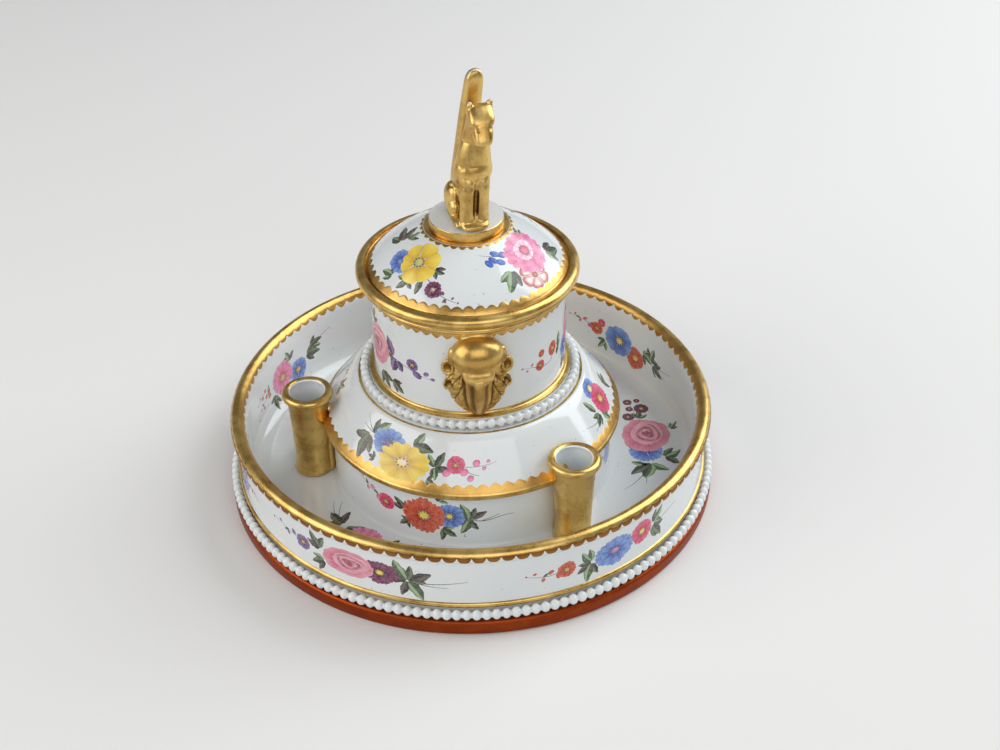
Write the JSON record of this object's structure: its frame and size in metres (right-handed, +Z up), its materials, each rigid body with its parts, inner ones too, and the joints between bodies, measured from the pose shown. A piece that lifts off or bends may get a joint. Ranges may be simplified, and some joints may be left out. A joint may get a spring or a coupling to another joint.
{
  "type": "desk inkstand",
  "caption": "Round porcelain desk inkstand: tray with drum, lidded inkpot with liner, quill tubes, gilt animal knob.",
  "frame": {"origin": "on the table, under the centre of the foot band", "axes": "+Z up, the axis of the tray, drum, pot and cover; the front eagle mask looks towards -Y"},
  "size_m": [0.1538, 0.1538, 0.1365],
  "materials": {
    "porcelain": "clear glossy glaze over white porcelain with painted flower sprays",
    "pearls": "glossy glazed beads",
    "gilding": "burnished gold leaf colour, slightly mottled",
    "copper_band": "satin copper-red gilding"
  },
  "bodies": {
    "stand": {"tray_dish": "porcelain", "tray_foot_band": "copper_band", "tray_pearls": "pearls", "platform": "porcelain", "quill_tube_left": "gilding", "quill_tube_right": "gilding", "quill_tube_rear": "gilding", "quill_tube_seat_left": "gilding", "quill_tube_seat_right": "gilding", "quill_tube_seat_rear": "gilding", "inkpot_body": "porcelain", "inkpot_pearls": "pearls", "eagle_mask_front": "gilding", "eagle_mask_back": "gilding"},
    "liner": {"ink_liner": "porcelain"},
    "lid": {"cover": "porcelain", "finial_disc": "porcelain", "cat_body": "gilding", "cat_head": "gilding", "cat_tail": "gilding"}
  },
  "joints": [
    {"name": "liner_lift", "type": "slide", "parent": "stand", "child": "liner", "axis": [0, 0, 1], "range_m": [0, 0.04]},
    {"name": "cover_lift", "type": "slide", "parent": "liner", "child": "lid", "axis": [0, 0, 1], "range_m": [0, 0.06]}
  ]
}
